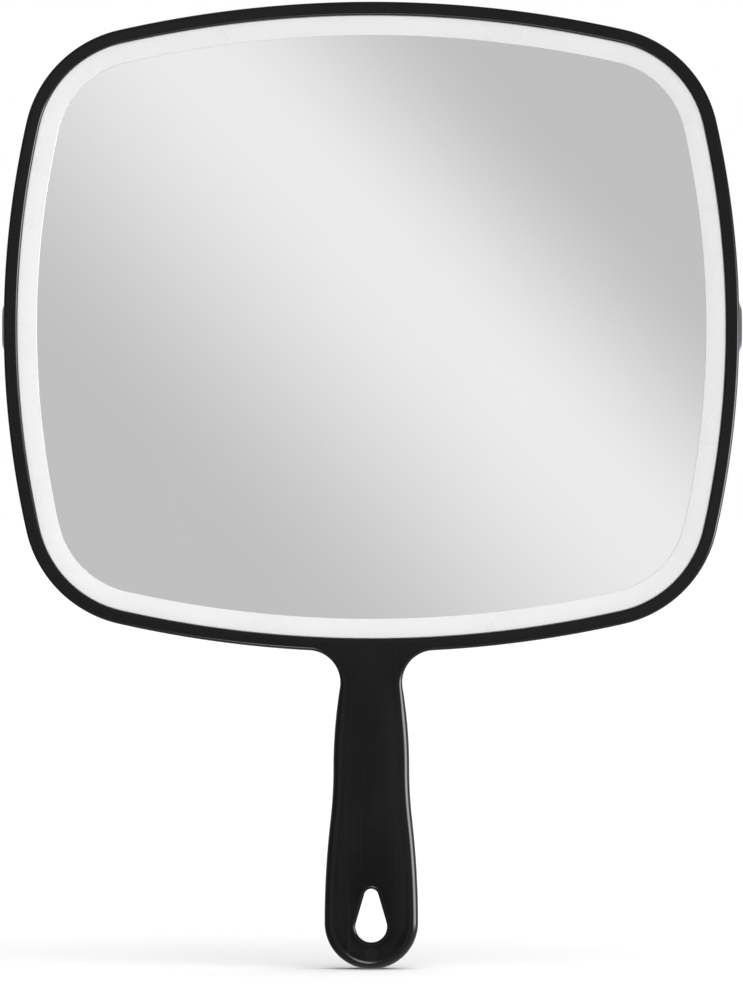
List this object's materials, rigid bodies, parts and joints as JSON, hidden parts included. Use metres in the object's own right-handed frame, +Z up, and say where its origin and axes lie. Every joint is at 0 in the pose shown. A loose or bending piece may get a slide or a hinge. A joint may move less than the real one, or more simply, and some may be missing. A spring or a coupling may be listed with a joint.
{
  "type": "hand mirror",
  "caption": "Wide rounded salon hand mirror with a black case, a white trim ring round the glass and a flared handle with a teardrop hanging hole.",
  "frame": {"origin": "middle of the grip: halfway along the handle, on its centre line and halfway through its thickness", "axes": "+Z runs up from the handle to the head, the mirror faces -Y, and +X is to the right for someone who looks into the mirror"},
  "size_m": [0.2432, 0.013, 0.317],
  "materials": {
    "black_gloss_plastic": "gloss black moulded ABS",
    "black_satin_plastic": "satin black moulded ABS with a fine spark-eroded texture on the back",
    "white_plastic": "satin white moulded ABS",
    "mirror": "float glass silvered on the back",
    "adhesive_tape": "double-sided tissue tape",
    "safety_film": "woven polyethylene safety film",
    "foam": "closed-cell polyethylene foam strip"
  },
  "bodies": {
    "root": {"front_frame": "black_gloss_plastic", "rear_cover": "black_satin_plastic", "trim_ring": "white_plastic", "mirror_glass": "mirror", "ring_tape": "adhesive_tape", "backing_film": "safety_film", "foam_strip_top": "foam", "foam_strip_bottom": "foam", "foam_strip_left": "foam", "foam_strip_right": "foam"}
  },
  "joints": []
}
